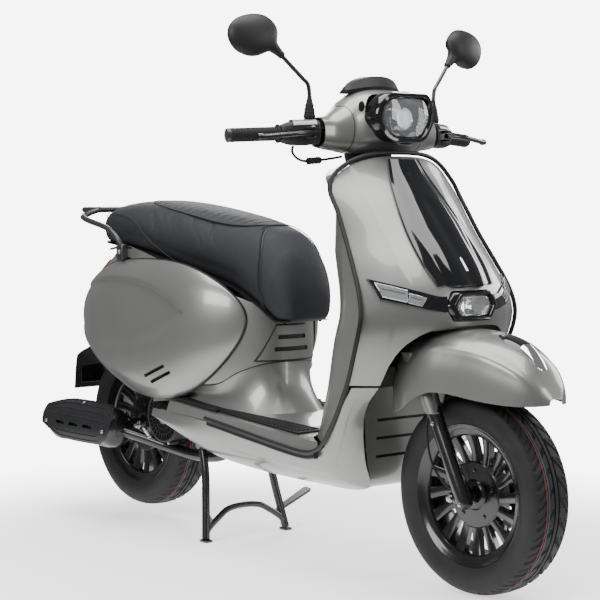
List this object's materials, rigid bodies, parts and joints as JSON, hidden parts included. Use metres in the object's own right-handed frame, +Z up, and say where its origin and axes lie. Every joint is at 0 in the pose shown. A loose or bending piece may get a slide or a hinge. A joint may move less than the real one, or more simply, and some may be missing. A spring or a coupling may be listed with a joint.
{
  "type": "moped scooter",
  "caption": "Step-through moped scooter on its centre stand: leg shield, flat floor, dual seat, rear carrier, swinging rear engine with exhaust, telescopic fork, mirrors",
  "frame": {"origin": "Middle of the outer box in plan, on the ground under the wheels and the stand feet", "axes": "+X forward, +Y to the rider's left, +Z up"},
  "size_m": [1.8518, 0.811, 1.3895],
  "materials": {
    "front_tyre": "tread",
    "rear_tyre": "tread",
    "front_rim": "cast",
    "rear_rim": "cast",
    "brake_disc": "ground",
    "fork_sliders": "cast",
    "brake_caliper": "cast",
    "fork_yoke": "satin",
    "front_fender": "painted gloss",
    "headset_cover": "painted gloss",
    "headlight_bezel": "gloss",
    "headlight_lens": "clear",
    "instrument_panel": "textured",
    "handlebar": "satin",
    "throttle_grip": "moulded",
    "left_grip": "moulded",
    "right_control_housing": "textured",
    "left_control_housing": "textured",
    "brake_lever_right": "satin",
    "brake_lever_left": "satin",
    "starter_button": "clear",
    "horn_button": "clear",
    "mirror_stem_right": "satin",
    "mirror_stem_left": "satin",
    "mirror_right": "textured",
    "mirror_left": "textured",
    "throttle_cable": "moulded",
    "leg_shield": "painted gloss",
    "tie_panel": "gloss",
    "nose_lamp_bezel": "gloss",
    "nose_lamp_lens": "clear",
    "front_signal_right": "clear",
    "front_signal_left": "clear",
    "inner_shield": "painted gloss",
    "glovebox_door": "painted gloss",
    "ignition_barrel": "ground",
    "leg_shield_trim": "textured",
    "floorboard": "painted gloss",
    "floor_mat_right": "moulded",
    "floor_mat_left": "moulded",
    "side_fairing_right": "painted gloss",
    "side_fairing_left": "painted gloss",
    "belly_pan": "painted gloss",
    "rear_body": "painted gloss",
    "side_cowl_right": "painted gloss",
    "side_cowl_left": "painted gloss",
    "tail_light": "clear",
    "rear_mudguard": "textured",
    "seat_cushion": "grained",
    "storage_bucket": "textured",
    "rear_rack": "satin",
    "frame": "satin",
    "engine_unit": "cast",
    "exhaust": "satin",
    "heat_shield": "textured",
    "shock_body": "satin",
    "shock_rod": "ground",
    "shock_spring": "ground",
    "kick_lever": "ground",
    "center_stand": "satin"
  },
  "bodies": {
    "chassis": {"frame": "frame", "leg_shield": "leg_shield", "tie_panel": "tie_panel", "nose_lamp_bezel": "nose_lamp_bezel", "nose_lamp_lens": "nose_lamp_lens", "front_signal_right": "front_signal_right", "front_signal_left": "front_signal_left", "inner_shield": "inner_shield", "leg_shield_trim": "leg_shield_trim", "floorboard": "floorboard", "floor_mat_right": "floor_mat_right", "floor_mat_left": "floor_mat_left", "side_fairing_right": "side_fairing_right", "side_fairing_left": "side_fairing_left", "belly_pan": "belly_pan", "rear_body": "rear_body", "side_cowl_right": "side_cowl_right", "side_cowl_left": "side_cowl_left", "tail_light": "tail_light", "rear_mudguard": "rear_mudguard", "storage_bucket": "storage_bucket", "rear_rack": "rear_rack"},
    "seat": {"seat_cushion": "seat_cushion"},
    "glovebox_lid": {"glovebox_door": "glovebox_door"},
    "ignition": {"ignition_barrel": "ignition_barrel"},
    "steering": {"fork_yoke": "fork_yoke", "front_fender": "front_fender", "headset_cover": "headset_cover", "headlight_bezel": "headlight_bezel", "headlight_lens": "headlight_lens", "instrument_panel": "instrument_panel", "handlebar": "handlebar", "left_grip": "left_grip", "right_control_housing": "right_control_housing", "left_control_housing": "left_control_housing", "throttle_cable": "throttle_cable"},
    "throttle": {"throttle_grip": "throttle_grip"},
    "lever_right": {"brake_lever_right": "brake_lever_right"},
    "lever_left": {"brake_lever_left": "brake_lever_left"},
    "starter": {"starter_button": "starter_button"},
    "horn": {"horn_button": "horn_button"},
    "mirror_arm_right": {"mirror_stem_right": "mirror_stem_right"},
    "mirror_arm_left": {"mirror_stem_left": "mirror_stem_left"},
    "mirror_head_right": {"mirror_right": "mirror_right"},
    "mirror_head_left": {"mirror_left": "mirror_left"},
    "fork_lower": {"fork_sliders": "fork_sliders", "brake_caliper": "brake_caliper"},
    "front_wheel": {"front_rim": "front_rim", "front_tyre": "front_tyre", "brake_disc": "brake_disc"},
    "power_unit": {"engine_unit": "engine_unit", "exhaust": "exhaust", "heat_shield": "heat_shield"},
    "rear_wheel": {"rear_rim": "rear_rim", "rear_tyre": "rear_tyre"},
    "kick": {"kick_lever": "kick_lever"},
    "shock_upper": {"shock_body": "shock_body", "shock_spring": "shock_spring"},
    "shock_lower": {"shock_rod": "shock_rod"},
    "stand": {"center_stand": "center_stand"}
  },
  "joints": [
    {"name": "steering", "type": "hinge", "parent": "chassis", "child": "steering", "pos_m": [0.69577, 0, 0.22278], "axis": [-0.454, 0, 0.891], "range_deg": [-30, 30]},
    {"name": "throttle", "type": "hinge", "parent": "steering", "child": "throttle", "pos_m": [0.2765, -0.278, 1.083], "axis": [-0.3725, -0.9272, -0.0396], "range_deg": [0, 60], "stiffness_Nm_per_rad": 0.3, "springref_deg": -22.92},
    {"name": "brake_lever_right", "type": "hinge", "parent": "steering", "child": "lever_right", "pos_m": [0.3435, -0.226, 1.085], "axis": [0, 0, -1], "range_deg": [0, 16], "stiffness_Nm_per_rad": 1.5, "springref_deg": -11.46},
    {"name": "brake_lever_left", "type": "hinge", "parent": "steering", "child": "lever_left", "pos_m": [0.3435, 0.226, 1.085], "axis": [0, 0, 1], "range_deg": [0, 16], "stiffness_Nm_per_rad": 1.5, "springref_deg": -11.46},
    {"name": "mirror_arm_right", "type": "hinge", "parent": "steering", "child": "mirror_arm_right", "pos_m": [0.3055, -0.207, 1.118], "axis": [0, 0, 1], "range_deg": [-30, 30]},
    {"name": "mirror_arm_left", "type": "hinge", "parent": "steering", "child": "mirror_arm_left", "pos_m": [0.3055, 0.207, 1.118], "axis": [0, 0, 1], "range_deg": [-30, 30]},
    {"name": "mirror_tilt_right", "type": "hinge", "parent": "mirror_arm_right", "child": "mirror_head_right", "pos_m": [0.2825, -0.284, 1.276], "axis": [0, 1, 0], "range_deg": [-10, 10]},
    {"name": "mirror_tilt_left", "type": "hinge", "parent": "mirror_arm_left", "child": "mirror_head_left", "pos_m": [0.2825, 0.284, 1.276], "axis": [0, 1, 0], "range_deg": [-10, 10]},
    {"name": "starter_button", "type": "slide", "parent": "steering", "child": "starter", "axis": [0.9279, -0.3728, 0], "range_m": [0, 0.0025], "stiffness_N_per_m": 900, "springref_m": -0.002},
    {"name": "horn_button", "type": "slide", "parent": "steering", "child": "horn", "axis": [0.9279, 0.3728, 0], "range_m": [0, 0.0025], "stiffness_N_per_m": 900, "springref_m": -0.002},
    {"name": "fork", "type": "slide", "parent": "steering", "child": "fork_lower", "axis": [-0.454, 0, 0.891], "range_m": [0, 0.075], "stiffness_N_per_m": 7000, "springref_m": -0.01},
    {"name": "front_wheel", "type": "hinge", "parent": "fork_lower", "child": "front_wheel", "pos_m": [0.6895, 0, 0.2364], "axis": [0, 1, 0], "continuous": true},
    {"name": "swing", "type": "hinge", "parent": "chassis", "child": "power_unit", "pos_m": [-0.2255, 0, 0.43], "axis": [0, 1, 0], "range_deg": [0, 8], "stiffness_Nm_per_rad": 2500, "springref_deg": -1.15},
    {"name": "rear_wheel", "type": "hinge", "parent": "power_unit", "child": "rear_wheel", "pos_m": [-0.6605, 0, 0.2659], "axis": [0, 1, 0], "continuous": true},
    {"name": "kick_start", "type": "hinge", "parent": "power_unit", "child": "kick", "pos_m": [-0.4555, 0.134, 0.3], "axis": [0, -1, 0], "range_deg": [0, 40], "stiffness_Nm_per_rad": 4, "springref_deg": -22.92},
    {"name": "shock_tilt", "type": "hinge", "parent": "chassis", "child": "shock_upper", "pos_m": [-0.6755, 0.108, 0.6], "axis": [0, 1, 0], "range_deg": [0, 2.4]},
    {"name": "shock_slide", "type": "slide", "parent": "shock_upper", "child": "shock_lower", "axis": [0, 0, 1], "range_m": [0, 0.0645], "deforming": ["shock_spring"]},
    {"name": "center_stand", "type": "hinge", "parent": "chassis", "child": "stand", "pos_m": [-0.2605, 0, 0.255], "axis": [0, 1, 0], "range_deg": [0, 62]},
    {"name": "seat", "type": "hinge", "parent": "chassis", "child": "seat", "pos_m": [0.0265, 0, 0.64], "axis": [0, 1, 0], "range_deg": [0, 70]},
    {"name": "ignition", "type": "hinge", "parent": "chassis", "child": "ignition", "pos_m": [0.0145, -0.085, 0.8], "axis": [1, 0, 0], "range_deg": [0, 90]},
    {"name": "glovebox", "type": "hinge", "parent": "chassis", "child": "glovebox_lid", "pos_m": [0.28963, 0, 0.5], "axis": [0, -1, 0], "range_deg": [0, 75]}
  ],
  "couplings": [
    {"joint": "shock_tilt", "follows": "swing", "ratio": 0.29},
    {"joint": "shock_slide", "follows": "swing", "m_per_rad": 0.454}
  ]
}
